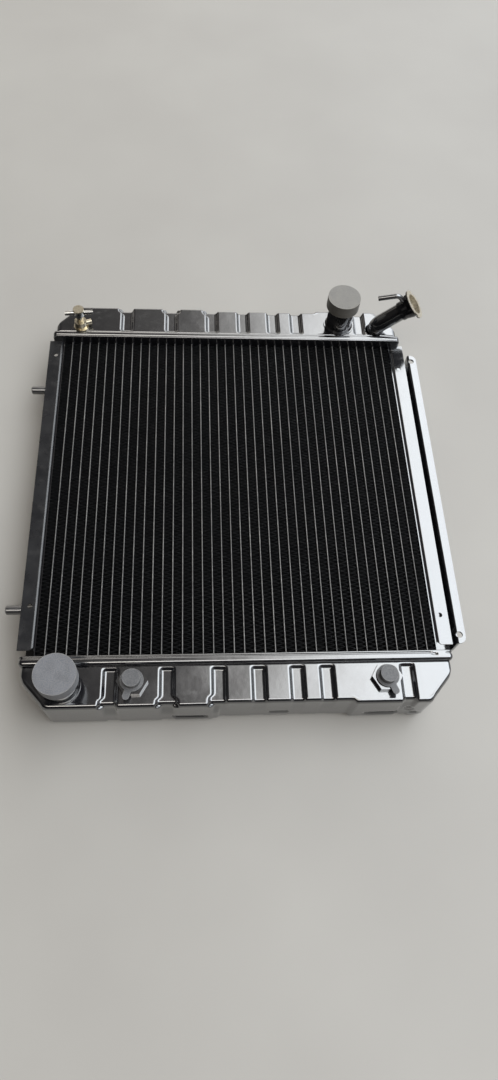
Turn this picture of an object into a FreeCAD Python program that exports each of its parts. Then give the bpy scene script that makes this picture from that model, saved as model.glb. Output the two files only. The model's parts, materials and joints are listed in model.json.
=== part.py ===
import FreeCAD, Part
import os
import re

import Sketcher
from FreeCAD import Placement, Rotation, Vector

# Crossflow car radiator, lying flat with its engine side up.
#
# Millimetres.  The origin is on the floor, under the middle of the core.
#   +X  towards the radiator's top as it stands in the car
#   -Y  towards the outlet tank, +Y towards the inlet tank
#   +Z  up, out of the engine side
# The tubes run along Y, from one header plate to the other.

HALF_TURN = 3.14159265358979
DEGREE = HALF_TURN / 180

# Driving sizes.  Every one is a cell of the sheet "Sizes", under its own alias.
SIZES = {
    # core: flat tubes in rows, with a folded fin strip on both sides of each tube
    "tube_count": 38,
    "tube_rows": 3,
    "tube_pitch": 11.0,
    "tube_length": 430.0,  # between the two header faces
    "tube_thick": 2.0,
    "tube_depth": 13.2,
    "tube_wall": 0.3,
    "tube_reach": 2.0,  # stands out inside the tank
    "row_gap": 2.2,
    "fin_wave": 9.4,
    "fin_thick": 0.12,
    "fin_end_gap": 3.0,
    "braze_gap": 0.1,
    "side_plate_thick": 1.0,
    # header plates: shallow pans whose rim takes the tank
    "header_rise": 10.0,  # of the rim above the core's face
    "header_overhang": 14.5,  # of the rim beyond the outer fins
    "header_plate": 1.5,
    "rim_length": 9.5,
    "rim_wall": 1.2,
    "rim_round": 2.5,
    "rim_corner": 5.0,
    "slot_gap": 0.05,
    # tanks: pressed pans, seven shallow grooves across each
    "tank_plain_sink": 3.0,  # of the outer wall's plain middle below its raised ends
    "tank_inset": 3.0,  # of the tank's walls inside the rim's outside
    "tank_wall": 1.2,
    "tank_round": 4.0,
    "tank_lip": 6.0,
    "solder_gap": 0.1,
    "cut_corner_along": 26.0,
    "cut_corner_in": 29.0,
    "groove_deep": 3.5,
    "groove_floor": 10.0,
    "groove_slope": 3.75,
    "panel_step": 4.0,
    # side frames: channels whose flanges point away from the core
    "frame_sheet": 1.5,
    "frame_flange": 18.0,
    "frame_bend": 4.0,
    "frame_outlet_gap": 9.0,  # to the outlet header; the other end meets the inlet header
    "frame_chamfer": 5.0,
    "shroud_hole": 5.5,
    "shroud_hole_out": 9.0,  # from the channel's back to the holes
    "shroud_spacing": 348.0,
    "shroud_shift_bottom": 18.0,  # the bottom pair sits towards the inlet tank
    "shroud_shift_top": 2.0,
    # locating pins on the bottom frame
    "pin_radius": 5.1,
    "pin_stand": 39.5,
    "pin_tip_chamfer": 1.2,
    "pin_head_radius": 9.0,
    "pin_head_thick": 2.0,
    "pin_spacing": 303.4,
    # mounting rail on the top frame
    "rail_sheet": 2.5,
    "rail_out": 25.2,  # from the channel's back to the rail's riser
    "rail_flange": 10.8,
    "rail_drop": 5.0,  # of the rail's top below the core's face
    "rail_foot_below": 5.0,  # of the foot's top below the core's middle
    "rail_end_gap": 11.5,
    "rail_round": 8.0,
    "rail_hole": 7.5,
    "rail_hole_in": 6.8,  # from the rail's edge to the holes
    "rail_hole_end": 10.0,
    "rail_foot": 8.0,
    # hose necks and their transport caps
    "neck_radius": 17.0,
    "neck_wall": 1.5,
    "neck_foot_out": 3.0,
    "neck_foot_thick": 1.2,
    "neck_fillet": 1.6,
    "root_reach": 2.2,  # of each tube below the tank's engine face
    "outlet_neck_height": 37.0,
    "inlet_neck_height": 47.0,
    "neck_land_gap": 0.0,  # from the foot to the header's rim, and to the tank's bend
    "outlet_neck_from_end": 42.0,
    "inlet_neck_from_end": 77.0,
    "cap_wall": 2.0,
    "cap_roof": 2.0,
    "cap_skirt": 14.0,
    "cap_fit": 2.2,
    # filler pipe, mouth and overflow pipe
    "filler_from_end": 27.5,
    "filler_out": 22.0,
    "filler_radius": 11.0,
    "filler_wall": 1.2,
    "filler_rise": 1.5,
    "filler_bend": 17.0,
    "filler_angle": 46.0,
    "filler_run": 35.0,
    "mouth_straight": 6.0,  # of the bore, from the flange
    "mouth_waist_step": 0.3,  # of the seat's radius beyond the pipe's
    "mouth_flare": 2.0,  # of the bore's radius beyond the seat's
    "mouth_flange": 5.7,
    "mouth_deep": 15.0,
    "mouth_sleeve": 5.0,
    "mouth_tab": 3.0,
    "mouth_tab_width": 7.0,
    "mouth_notch": 2.6,
    "mouth_notch_width": 7.0,
    "mouth_sheet": 1.2,
    "mouth_lip": 2.2,
    "mouth_seat": 1.4,
    "overflow_radius": 3.1,
    "overflow_wall": 0.9,
    "overflow_up": 9.0,
    "overflow_bend": 7.0,
    "overflow_angle": 58.0,
    "overflow_run": 22.0,
    "overflow_down": 8.0,  # from the mouth's face to the overflow pipe
    # drain cock
    "drain_from_end": 32.0,
    "drain_out": 19.0,
    "drain_boss_radius": 7.5,
    "drain_boss_height": 11.0,
    "drain_bore": 4.0,
    "drain_foot_radius": 9.5,
    "drain_floor": 1.6,
    "drain_port": 1.8,
    "drain_chamber": 6.4,
    "drain_chamber_radius": 5.6,
    "spout_radius": 3.4,
    "spout_bore": 1.9,
    "spout_reach": 14.0,
    "spout_height": 5.2,
    "spout_turn": 20.0,
    "spindle_clearance": 0.06,
    "spindle_neck": 3.0,
    "spindle_tip": 2.0,
    "spindle_disc_radius": 6.8,
    "spindle_disc": 2.2,
    "drain_total": 31.0,
    "wing_span": 35.0,
    "wing_radius": 2.8,
    "wing_hub_radius": 6.0,
    "wing_hub_height": 8.0,
    "wing_turn": -5.0,
    "seal_section": 1.5,
    "seal_radius": 4.6,
    "seal_play": 0.05,
    # oil cooler inside the outlet tank
    "cooler_radius": 14.0,
    "cooler_wall": 1.2,
    "cooler_core_radius": 9.0,
    "cooler_overhang": 20.0,
    "cooler_end": 2.0,
    "cooler_below": 20.0,  # axis below the tank's engine face
    "union_out": 29.0,
    "union_from_bottom": 113.6,
    "union_from_top": 72.4,
    "union_radius": 7.5,
    "union_bore": 5.0,
    "union_foot_radius": 10.0,
    "union_foot": 1.5,
    "union_reach": 0.8,
    "union_stand": 15.0,  # above the tank's engine face
    "gasket_thick": 1.5,
    "nut_flats": 28.0,
    "nut_thick": 6.0,
    "hole_gap": 0.3,
    "union_cap_wall": 1.3,
    "union_cap_brim": 12.0,
    "union_cap_brim_thick": 1.4,
    "union_cap_lift": 0.6,
    "tab_length": 9.0,
    "tab_width": 7.0,
    "bottom_tab_turn": -18.0,
    "top_tab_turn": 22.0,
    "turbulator_pleats": 24,
    "turbulator_thick": 0.3,  # along the radius
}

# Sizes that follow from the driving ones, each a formula of their names.
FOLLOWING = {
    "core_half_width": "(tube_count + 1) * tube_pitch / 2 - tube_thick / 2",
    "core_depth": "tube_rows * tube_depth + (tube_rows - 1) * row_gap",
    "row_step": "tube_depth + row_gap",
    "header_face": "tube_length / 2",
    "header_height": "core_depth + 2 * header_rise",
    "middle_height": "header_height / 2",
    "core_top": "header_height - header_rise",
    "header_half_length": "core_half_width + header_overhang",
    "tank_half_length": "header_half_length - tank_inset",
    "tank_top": "header_height - tank_inset",
    "frame_back": "core_half_width + side_plate_thick + solder_gap",
    "frame_inlet_end": "header_face - solder_gap",
    "frame_outlet_end": "frame_outlet_gap - header_face",
    "rail_half_length": "header_face - rail_end_gap",
    "rail_edge": "frame_back + rail_out + rail_flange",
    "rail_top": "core_top - rail_drop",
    "neck_foot_radius": "neck_radius + neck_foot_out",
    "rim_end": "header_plate + rim_length",  # from the header's core face
    "neck_out": "rim_end + neck_land_gap + neck_foot_radius",
    "tank_deep": "neck_out + neck_foot_radius + neck_land_gap + tank_round",
    "tank_base_deep": "tank_deep - tank_plain_sink",
    "neck_offset": "header_face + neck_out",
    "outlet_neck_x": "outlet_neck_from_end - tank_half_length",
    "inlet_neck_x": "tank_half_length - inlet_neck_from_end",
    "filler_x": "tank_half_length - filler_from_end",
    "filler_y": "header_face + filler_out",
    "drain_x": "drain_from_end - tank_half_length",
    "drain_y": "header_face + drain_out",
    "union_y": "-header_face - union_out",
    "union_bottom_x": "union_from_bottom - tank_half_length",
    "union_top_x": "tank_half_length - union_from_top",
    "cooler_z": "tank_top - cooler_below",
    "mouth_waist": "filler_radius + mouth_waist_step",
    "mouth_bore": "mouth_waist + mouth_flare",
    "mouth_radius": "mouth_bore + mouth_flange",
    "mouth_x": "filler_x + filler_bend * (1 - cos(filler_angle))"
    " + (filler_run + mouth_deep + solder_gap) * sin(filler_angle)",
    "mouth_z": "tank_top + filler_rise + filler_bend * sin(filler_angle)"
    " + (filler_run + mouth_deep + solder_gap) * cos(filler_angle)",
}

# Where the grooves cross each tank, as shares of the tank's half length, bottom end first.
GROOVE_PLACES = (-0.596, -0.338, -0.100, 0.084, 0.262, 0.402, 0.782)
# The plain middle of the outer wall starts at this groove and ends at this place.
PLAIN_FROM_GROOVE = 2
PLAIN_TO = 0.518

doc = FreeCAD.newDocument("radiator")
sheet = doc.addObject("Spreadsheet::Sheet", "Sizes")


def fill_sheet():
    for row, (alias, size) in enumerate(SIZES.items(), start=1):
        sheet.set(f"A{row}", alias)
        sheet.set(f"B{row}", str(size))
        sheet.setAlias(f"B{row}", alias)
    doc.recompute()


def expand(formula):
    """The formula with every name replaced by its cell or by its own formula."""

    def swap(match):
        word = match.group()
        if word in FOLLOWING:
            return "(" + expand(FOLLOWING[word]) + ")"
        if word in SIZES:
            return "Sizes." + word
        return word

    return re.sub(r"[a-z][a-z_]*", swap, str(formula))


def number(formula):
    return float(sheet.evalExpression(expand(formula)))


def bind(obj, prop, formula):
    obj.setExpression(prop, expand(formula))


def place(obj, at=("0", "0", "0"), axis=None, angle=None):
    """Put an object at three formulas, turned about an axis by a formula in degrees."""
    if axis is not None:
        obj.Placement = Placement(Vector(), Rotation(Vector(*axis), number(angle)))
        bind(obj, "Placement.Rotation.Angle", angle)
    for letter, formula in zip("xyz", at):
        bind(obj, f"Placement.Base.{letter}", formula)


# ---- sketches ------------------------------------------------------------------------


def new_body(label):
    body = doc.addObject("PartDesign::Body", label)
    body.Label = label
    return body


def new_sketch(body, plane, offset="0"):
    """A sketch on one of the body's own origin planes, moved along that plane's normal."""
    sketch = body.newObject("Sketcher::SketchObject", "Sketch")
    planes = {feature.Role: feature for feature in body.Origin.OriginFeatures}
    sketch.AttachmentSupport = (planes[plane], [""])
    sketch.MapMode = "FlatFace"
    bind(sketch, "AttachmentOffset.Base.z", offset)
    return sketch


def pin_point(sketch, edge, end, across, along):
    """Hold one point of a sketch at two formulas, measured from the origin."""
    for kind, axis_line, formula in (("DistanceX", -2, across), ("DistanceY", -1, along)):
        size = number(formula)
        if abs(size) < 1e-9:
            sketch.addConstraint(Sketcher.Constraint("PointOnObject", edge, end, axis_line))
        elif size > 0:
            row = sketch.addConstraint(Sketcher.Constraint(kind, -1, 1, edge, end, size))
            bind(sketch, f"Constraints[{row}]", formula)
        else:
            row = sketch.addConstraint(Sketcher.Constraint(kind, edge, end, -1, 1, -size))
            bind(sketch, f"Constraints[{row}]", f"-({formula})")


def draw_polygon(sketch, corners):
    """A closed outline whose corners are pairs of formulas."""
    points = [Vector(number(across), number(along), 0) for across, along in corners]
    first = sketch.GeometryCount
    count = len(points)
    for index, point in enumerate(points):
        sketch.addGeometry(Part.LineSegment(point, points[(index + 1) % count]))
    for index in range(count):
        after = first + (index + 1) % count
        sketch.addConstraint(Sketcher.Constraint("Coincident", first + index, 2, after, 1))
    for index, (across, along) in enumerate(corners):
        pin_point(sketch, first + index, 1, across, along)


def draw_circle(sketch, radius, across="0", along="0"):
    centre = Vector(number(across), number(along), 0)
    circle = sketch.addGeometry(Part.Circle(centre, Vector(0, 0, 1), number(radius)))
    row = sketch.addConstraint(Sketcher.Constraint("Radius", circle, number(radius)))
    bind(sketch, f"Constraints[{row}]", radius)
    pin_point(sketch, circle, 3, across, along)


def draw_slot(sketch, radius, reach, across, along):
    """An upright slot with round ends; reach runs from its middle to an end's centre."""
    x, y = number(across), number(along)
    r, d = number(radius), number(reach)
    upper = sketch.addGeometry(
        Part.ArcOfCircle(Part.Circle(Vector(x, y + d, 0), Vector(0, 0, 1), r), 0, HALF_TURN)
    )
    lower = sketch.addGeometry(
        Part.ArcOfCircle(
            Part.Circle(Vector(x, y - d, 0), Vector(0, 0, 1), r), HALF_TURN, 2 * HALF_TURN
        )
    )
    left = sketch.addGeometry(Part.LineSegment(Vector(x - r, y + d, 0), Vector(x - r, y - d, 0)))
    right = sketch.addGeometry(Part.LineSegment(Vector(x + r, y - d, 0), Vector(x + r, y + d, 0)))
    for one, one_end, other, other_end in (
        (upper, 2, left, 1),
        (left, 2, lower, 1),
        (lower, 2, right, 1),
        (right, 2, upper, 1),
    ):
        sketch.addConstraint(Sketcher.Constraint("Tangent", one, one_end, other, other_end))
    sketch.addConstraint(Sketcher.Constraint("Equal", upper, lower))
    row = sketch.addConstraint(Sketcher.Constraint("Radius", upper, r))
    bind(sketch, f"Constraints[{row}]", radius)
    pin_point(sketch, upper, 3, across, f"{along} + ({reach})")
    pin_point(sketch, lower, 3, across, f"{along} - ({reach})")


# ---- features ------------------------------------------------------------------------


def pad(body, sketch, length, reverse=False, both_ways=False):
    feature = body.newObject("PartDesign::Pad", "Pad")
    feature.Profile = sketch
    bind(feature, "Length", length)
    feature.Reversed = reverse
    feature.Midplane = both_ways
    doc.recompute()
    return feature


def pocket(body, sketch, depth=None, reverse=False):
    """Cut a sketch into the body, right through both ways where no depth is given."""
    before = body.Shape.Volume
    feature = body.newObject("PartDesign::Pocket", "Pocket")
    feature.Profile = sketch
    if depth is None:
        feature.Type = 1
        feature.Midplane = True
    else:
        bind(feature, "Length", depth)
        feature.Reversed = reverse
    doc.recompute()
    if feature.Shape.Volume > before - 1e-3:
        raise ValueError(f"{body.Label}: a pocket cut nothing")
    return feature


def repeat(body, feature, sketch, axis, length, count):
    """A straight row of one feature, along an axis of its sketch."""
    pattern = body.newObject("PartDesign::LinearPattern", "Row")
    pattern.Originals = [feature]
    pattern.Direction = (sketch, [axis])
    bind(pattern, "Length", length)
    bind(pattern, "Occurrences", count)
    body.Tip = pattern
    doc.recompute()
    return pattern


def round_edges(body, radius, wanted, kind="Fillet"):
    """Round or chamfer the edges of the body's tip that the test picks."""
    tip = body.Tip
    names = [f"Edge{i}" for i, edge in enumerate(tip.Shape.Edges, start=1) if wanted(edge)]
    if not names:
        raise ValueError(f"{body.Label}: no edge to {kind.lower()}")
    feature = body.newObject(f"PartDesign::{kind}", kind)
    feature.Base = (tip, names)
    bind(feature, "Radius" if kind == "Fillet" else "Size", radius)
    doc.recompute()
    return feature


def turned(label, corners, at, axis=None, angle=None):
    """A piece turned about its own Z axis, from corners given as (radius, height)."""
    body = new_body(label)
    sketch = new_sketch(body, "XZ_Plane")
    draw_polygon(sketch, corners)
    turn = body.newObject("PartDesign::Revolution", "Turn")
    turn.Profile = sketch
    turn.ReferenceAxis = (sketch, ["V_Axis"])
    turn.Angle = 360
    place(body, at, axis, angle)
    doc.recompute()
    return body


def along(edge, direction):
    """True for a straight edge that runs along a direction."""
    if len(edge.Vertexes) != 2 or not isinstance(edge.Curve, (Part.Line, Part.LineSegment)):
        return False
    way = edge.Vertexes[1].Point - edge.Vertexes[0].Point
    return way.cross(Vector(*direction)).Length < 1e-6 * way.Length


def middle(edge):
    return edge.BoundBox.Center


def kept_shape(label, shape):
    """A piece whose shape is worked out here, from the sheet's sizes."""
    piece = doc.addObject("Part::Feature", label)
    piece.Label = label
    piece.Shape = shape
    return piece


# ---- core ----------------------------------------------------------------------------


def row_height(row):
    """Formula of a tube row's middle height; row 0 is the engine side's."""
    return f"core_top - tube_depth / 2 - {row} * row_step"


def core_tubes():
    """One node per row: hollow flat tubes that pass through both header plates."""
    rows = int(number("tube_rows"))
    names = ["front", "middle", "rear"] if rows == 3 else [str(row + 1) for row in range(rows)]
    for row, name in enumerate(names):
        body = new_body(f"core_tubes_{name}")
        sketch = new_sketch(body, "XZ_Plane")
        first = "-(tube_count - 1) * tube_pitch / 2"
        reach = "(tube_depth - tube_thick) / 2"
        draw_slot(sketch, "tube_thick / 2", reach, first, row_height(row))
        draw_slot(sketch, "tube_thick / 2 - tube_wall", reach, first, row_height(row))
        length = "tube_length + 2 * (header_plate + tube_reach)"
        tube = pad(body, sketch, length, both_ways=True)
        span = "(tube_count - 1) * tube_pitch"
        repeat(body, tube, sketch, "H_Axis", span, "tube_count")


def fin_strip(across, waves):
    """One folded strip: a zigzag ribbon between two tubes, as deep as the core."""
    half = number("(tube_pitch - tube_thick) / 2 - braze_gap")
    step = number("fin_wave") / 2
    aside = number("fin_thick") / 2 * (1 + (2 * half / step) ** 2) ** 0.5
    start = -waves * step
    near = []
    for fold in range(2 * waves + 1):
        side = (half - aside) if fold % 2 else -(half - aside)
        near.append(Vector(across + side - aside, start + fold * step, 0))
    far = [point + Vector(2 * aside, 0, 0) for point in reversed(near)]
    outline = Part.makePolygon(near + far + near[:1])
    strip = Part.Face(outline).extrude(Vector(0, 0, number("core_depth")))
    strip.translate(Vector(0, 0, number("header_rise")))
    return strip


def core_fins():
    count = int(number("tube_count")) + 1
    pitch = number("tube_pitch")
    waves = int(number("(tube_length - 2 * fin_end_gap) / fin_wave"))
    first = -(count - 1) * pitch / 2
    strips = [fin_strip(first + index * pitch, waves) for index in range(count)]
    kept_shape("core_fins", Part.makeCompound(strips))


def side_plates():
    """Thin plates that close the core beside its outer fins, header to header."""
    body = new_body("core_side_plates")
    sketch = new_sketch(body, "XZ_Plane")
    for side in ("", "-"):
        inner = f"{side}core_half_width"
        outer = f"{side}(core_half_width + side_plate_thick)"
        draw_polygon(
            sketch,
            [(inner, "header_rise"), (outer, "header_rise"), (outer, "core_top"), (inner, "core_top")],
        )
    pad(body, sketch, "tube_length", both_ways=True)


# ---- headers and tanks ---------------------------------------------------------------


def rectangle(half_width, low, high):
    return [
        (f"-({half_width})", low),
        (half_width, low),
        (half_width, high),
        (f"-({half_width})", high),
    ]


def header(label, side):
    """A pan: plate with a slot for every tube, and a rim round the tank's mouth."""
    body = new_body(label)
    outward = side > 0
    sign = "" if outward else "-"
    face = "-header_face" if outward else "header_face"
    blank = new_sketch(body, "XZ_Plane", face)
    draw_polygon(blank, rectangle("header_half_length", "0", "header_height"))
    pad(body, blank, "header_plate + rim_length", reverse=outward)
    round_edges(body, "rim_corner", lambda edge: along(edge, (0, 1, 0)))
    face_y = number(f"{sign}header_face")
    round_edges(
        body,
        "rim_round",
        lambda edge: edge.BoundBox.YLength < 1e-6 and abs(middle(edge).y - face_y) < 1e-6,
    )
    mouth_at = f"{'-' if outward else ''}(header_face + header_plate + rim_length)"
    mouth = new_sketch(body, "XZ_Plane", mouth_at)
    inner = "header_half_length - rim_wall"
    draw_polygon(mouth, rectangle(inner, "rim_wall", "header_height - rim_wall"))
    pocket(body, mouth, "rim_length", reverse=outward)
    slots = new_sketch(body, "XZ_Plane", face)
    radius = "tube_thick / 2 + slot_gap"
    first = "-(tube_count - 1) * tube_pitch / 2"
    for row in range(int(number("tube_rows"))):
        draw_slot(slots, radius, "(tube_depth - tube_thick) / 2", first, row_height(row))
    cut = pocket(body, slots, "header_plate + 1", reverse=not outward)
    repeat(body, cut, slots, "H_Axis", "(tube_count - 1) * tube_pitch", "tube_count")


def tank_stations():
    """Places along the tank where its section changes: (x, depth, inset) in order."""
    half = number("tank_half_length")
    full = number("tank_deep")
    plain = number("tank_base_deep")
    sink = number("groove_deep")
    floor = number("groove_floor") / 2
    slope = number("groove_slope")
    stations = [(-half, number("tank_deep - cut_corner_in"), 0.0)]
    stations.append((-half + number("cut_corner_along"), full, 0.0))
    for index, share in enumerate(GROOVE_PLACES):
        x = share * half
        if index == len(GROOVE_PLACES) - 1:
            stations.append((PLAIN_TO * half - number("panel_step") / 2, plain, 0.0))
            stations.append((PLAIN_TO * half + number("panel_step") / 2, full, 0.0))
        before = plain if PLAIN_FROM_GROOVE < index < len(GROOVE_PLACES) - 1 else full
        after = plain if PLAIN_FROM_GROOVE <= index < len(GROOVE_PLACES) - 1 else full
        stations.append((x - floor - slope, before, 0.0))
        stations.append((x - floor, full - sink, sink))
        stations.append((x + floor, full - sink, sink))
        stations.append((x + floor + slope, after, 0.0))
    stations.append((half - number("cut_corner_along"), full, 0.0))
    stations.append((half, number("tank_deep - cut_corner_in"), 0.0))
    return stations


def tank_section(x, start, depth, low, high, radius):
    """A section across the tank, open side at start, outer corners rounded."""
    turn = radius * (1 - 0.5**0.5)
    corners = [
        Vector(x, start, low),
        Vector(x, depth - radius, low),
        Vector(x, depth - turn, low + turn),
        Vector(x, depth, low + radius),
        Vector(x, depth, high - radius),
        Vector(x, depth - turn, high - turn),
        Vector(x, depth - radius, high),
        Vector(x, start, high),
    ]
    return Part.Wire(
        [
            Part.LineSegment(corners[0], corners[1]).toShape(),
            Part.Arc(corners[1], corners[2], corners[3]).toShape(),
            Part.LineSegment(corners[3], corners[4]).toShape(),
            Part.Arc(corners[4], corners[5], corners[6]).toShape(),
            Part.LineSegment(corners[6], corners[7]).toShape(),
            Part.LineSegment(corners[7], corners[0]).toShape(),
        ]
    )


def tank_solid(wall, start):
    """The tank's block, shrunk by a wall on every side but its open one."""
    low, high = number("tank_inset") + wall, number("tank_top") - wall
    radius = number("tank_round") - wall
    sections = []
    for x, depth, inset in tank_stations():
        x = x - wall if x > 0.999 * number("tank_half_length") else x
        x = x + wall if x < -0.999 * number("tank_half_length") else x
        sections.append(
            tank_section(x, start, depth - wall, low + inset, high - inset, radius)
        )
    return Part.makeLoft(sections, True, True)


def upright(radius, x, y, low, high):
    return Part.makeCylinder(radius, high - low, Vector(x, y, low))


def tank(label, side, holes):
    """A pressed pan, its mouth in the header's rim; side is -1 for the outlet tank."""
    plate = number("header_plate")
    lip_half = number("header_half_length - rim_wall - solder_gap")
    lip_low = number("rim_wall + solder_gap")
    lip_high = number("header_height - rim_wall - solder_gap")
    lip = Part.makeBox(
        2 * lip_half,
        number("tank_lip"),
        lip_high - lip_low,
        Vector(-lip_half, plate, lip_low),
    )
    corner = number("rim_corner - rim_wall")
    lip = lip.makeFillet(corner, [edge for edge in lip.Edges if along(edge, (0, 1, 0))])
    outside = tank_solid(0.0, plate).fuse(lip)
    cavity = tank_solid(number("tank_wall"), plate - 1)
    shape = outside.cut(cavity)
    gap = number("hole_gap")
    top = number("tank_top")
    drills = [
        upright(radius + gap, x, side * y - number("header_face"), top - 8, top + 8)
        for radius, x, y in holes
    ]
    shape = shape.cut(Part.makeCompound(drills))
    if side < 0:
        shape = shape.mirror(Vector(), Vector(0, 1, 0))
    piece = kept_shape(label, shape)
    piece.Placement.Base = Vector(0, side * number("header_face"), 0)


def tanks():
    tank(
        "outlet_tank",
        -1,
        [
            (number("neck_radius"), number("outlet_neck_x"), -number("neck_offset")),
            (number("union_radius"), number("union_bottom_x"), number("union_y")),
            (number("union_radius"), number("union_top_x"), number("union_y")),
        ],
    )
    tank(
        "inlet_tank",
        1,
        [
            (number("neck_radius"), number("inlet_neck_x"), number("neck_offset")),
            (number("filler_radius"), number("filler_x"), number("filler_y")),
            (number("drain_bore + 2"), number("drain_x"), number("drain_y")),
        ],
    )


# ---- side frames, pins and rail ------------------------------------------------------


def channel_outline(sign):
    """The channel's section: back against the core, two flanges pointing away."""
    back = f"{sign}frame_back"
    inner = f"{sign}(frame_back + frame_sheet)"
    edge = f"{sign}(frame_back + frame_flange)"
    low = "header_rise"
    return [
        (back, low),
        (edge, low),
        (edge, f"{low} + frame_sheet"),
        (inner, f"{low} + frame_sheet"),
        (inner, "core_top - frame_sheet"),
        (edge, "core_top - frame_sheet"),
        (edge, "core_top"),
        (back, "core_top"),
    ]


def side_frame(label, sign, shift):
    """A channel with two shroud holes in its engine-side flange."""
    body = new_body(label)
    sketch = new_sketch(body, "XZ_Plane", "-frame_inlet_end")
    draw_polygon(sketch, channel_outline(sign))
    pad(body, sketch, "frame_inlet_end - (frame_outlet_end)")
    back_x = number(f"{sign}frame_back")
    inner_x = number(f"{sign}(frame_back + frame_sheet)")

    def at_x(edge, x):
        return along(edge, (0, 1, 0)) and abs(middle(edge).x - x) < 1e-6

    round_edges(body, "frame_bend", lambda edge: at_x(edge, back_x))
    round_edges(body, "frame_bend - frame_sheet", lambda edge: at_x(edge, inner_x))
    holes = new_sketch(body, "XY_Plane", "core_top")
    out = f"{sign}(frame_back + shroud_hole_out)"
    for side in ("-", "+"):
        draw_circle(holes, "shroud_hole / 2", out, f"{shift} {side} shroud_spacing / 2")
    pocket(body, holes, "frame_sheet + 1")
    corner = new_sketch(body, "XY_Plane", "core_top")
    near, far = f"{sign}(frame_back - 1)", f"{sign}(frame_back + frame_chamfer)"
    end = "frame_outlet_end"
    draw_polygon(
        corner,
        [
            (near, f"{end} - 1"),
            (far, f"{end} - 1"),
            (far, end),
            (near, f"{end} + frame_chamfer + 1"),
        ],
    )
    pocket(body, corner, "frame_bend")


def locating_pins():
    """Two pins through the bottom channel's back, each with a head inside it."""
    body = new_body("bottom_locating_pins")
    sketch = new_sketch(body, "XZ_Plane")
    draw_polygon(
        sketch,
        [
            ("0", "frame_sheet + solder_gap"),
            ("pin_head_radius", "frame_sheet + solder_gap"),
            ("pin_head_radius", "frame_sheet + solder_gap + pin_head_thick"),
            ("pin_radius", "frame_sheet + solder_gap + pin_head_thick"),
            ("pin_radius", "pin_stand - pin_tip_chamfer"),
            ("pin_radius - pin_tip_chamfer", "pin_stand"),
            ("0", "pin_stand"),
        ],
    )
    turn = body.newObject("PartDesign::Revolution", "Turn")
    turn.Profile = sketch
    turn.ReferenceAxis = (sketch, ["V_Axis"])
    turn.Angle = 360
    doc.recompute()
    row = new_sketch(body, "XY_Plane")
    draw_circle(row, "pin_radius")
    repeat(body, turn, row, "V_Axis", "pin_spacing", "2")
    place(body, ("-frame_back", "-pin_spacing / 2", "middle_height"), (0, 1, 0), "-90")


def mounting_rail():
    """A bent bar in the top channel: foot on its back, riser, and a flange with two holes."""
    body = new_body("top_mounting_rail")
    sketch = new_sketch(body, "XZ_Plane")
    inside = "frame_back + frame_sheet + solder_gap"
    riser = "frame_back + rail_out"
    foot = "middle_height - rail_foot_below"
    draw_polygon(
        sketch,
        [
            (inside, f"{foot} - rail_foot"),
            (f"{inside} + rail_sheet", f"{foot} - rail_foot"),
            (f"{inside} + rail_sheet", f"{foot} - rail_sheet"),
            (f"{riser} + rail_sheet", f"{foot} - rail_sheet"),
            (f"{riser} + rail_sheet", "rail_top - rail_sheet"),
            ("rail_edge", "rail_top - rail_sheet"),
            ("rail_edge", "rail_top"),
            (riser, "rail_top"),
            (riser, foot),
            (inside, foot),
        ],
    )
    pad(body, sketch, "2 * rail_half_length", both_ways=True)
    edge_x = number("rail_edge")
    round_edges(
        body,
        "rail_round",
        lambda edge: along(edge, (0, 0, 1)) and abs(middle(edge).x - edge_x) < 1e-6,
    )
    riser_x, top_z = number(riser), number("rail_top")
    round_edges(
        body,
        "0.9 * rail_sheet",
        lambda edge: along(edge, (0, 1, 0))
        and (middle(edge) - Vector(riser_x, middle(edge).y, top_z)).Length < 1e-6,
    )
    holes = new_sketch(body, "XY_Plane", "rail_top")
    for side in ("-", ""):
        draw_circle(
            holes,
            "rail_hole / 2",
            "rail_edge - rail_hole_in",
            f"{side}(rail_half_length - rail_hole_end)",
        )
    pocket(body, holes, "rail_sheet + 1")


# ---- hose necks and caps -------------------------------------------------------------


def hose_neck(label, x, y, height):
    """A tube through the tank's face, with a foot soldered on the face."""
    inner = "neck_radius - neck_wall"
    turned(
        label,
        [
            (inner, "-root_reach"),
            ("neck_radius", "-root_reach"),
            ("neck_radius", "solder_gap"),
            ("neck_foot_radius", "solder_gap"),
            ("neck_foot_radius", "neck_foot_thick"),
            ("neck_radius + neck_fillet", "neck_foot_thick"),
            ("neck_radius", "neck_foot_thick + neck_fillet"),
            ("neck_radius", height),
            (inner, height),
        ],
        (x, y, "tank_top"),
    )


def neck_cap(label, x, y, height):
    """A transport cap: a plain plastic cup over the neck's end."""
    inner = "neck_radius + cap_fit"
    outer = f"{inner} + cap_wall"
    roof = f"{height} + solder_gap"
    turned(
        label,
        [
            ("0", roof),
            (inner, roof),
            (inner, f"{height} - cap_skirt"),
            (outer, f"{height} - cap_skirt"),
            (outer, f"{roof} + cap_roof"),
            ("0", f"{roof} + cap_roof"),
        ],
        (x, y, "tank_top"),
    )


# ---- filler --------------------------------------------------------------------------


def swept_tube(body, ring_plane, ring_offset, radius, wall, path):
    """A ring swept along a path in the body's XZ plane that starts on the ring's plane."""
    ring = new_sketch(body, ring_plane, ring_offset)
    draw_circle(ring, radius)
    draw_circle(ring, f"{radius} - {wall}")
    spine = new_sketch(body, "XZ_Plane")
    draw_bent_path(spine, *path)
    pipe = body.newObject("PartDesign::AdditivePipe", "Pipe")
    pipe.Profile = ring
    pipe.Spine = (spine, [])
    doc.recompute()


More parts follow.
